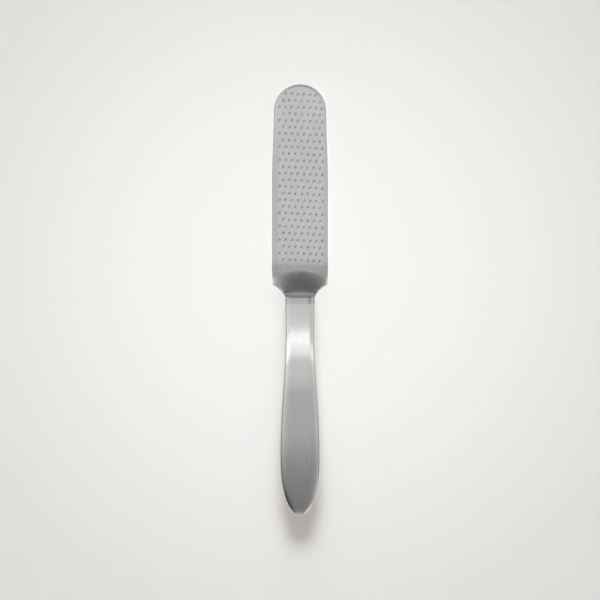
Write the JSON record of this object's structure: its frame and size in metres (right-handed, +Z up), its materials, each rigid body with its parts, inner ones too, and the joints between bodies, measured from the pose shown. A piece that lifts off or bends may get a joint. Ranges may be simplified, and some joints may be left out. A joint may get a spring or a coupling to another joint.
{
  "type": "foot file",
  "caption": "Steel foot file with a round-tipped rasp blade, punched coarse teeth on the front, file cuts behind, a ground bolster and a slim hollow handle.",
  "frame": {"origin": "under the middle of the tool as it lies flat, level with the lowest point of the handle's belly", "axes": "+Y along the tool from the handle's end to the blade's tip, +Z up through the coarse face, +X to the right seen from above"},
  "size_m": [0.026, 0.2, 0.0104],
  "materials": {
    "blade_steel": "satin stainless steel, ground along the blade",
    "handle_steel": "finely satined and part polished stainless steel",
    "weld_steel": "stainless weld ground flush",
    "solder": "silver solder polished flush",
    "cement": "grey handle cement"
  },
  "bodies": {
    "root": {"blade": "blade_steel", "mouth_solder": "solder", "tang_cement": "cement", "handle_front_shell": "handle_steel", "handle_rear_shell": "handle_steel", "side_weld": "weld_steel"}
  },
  "joints": []
}
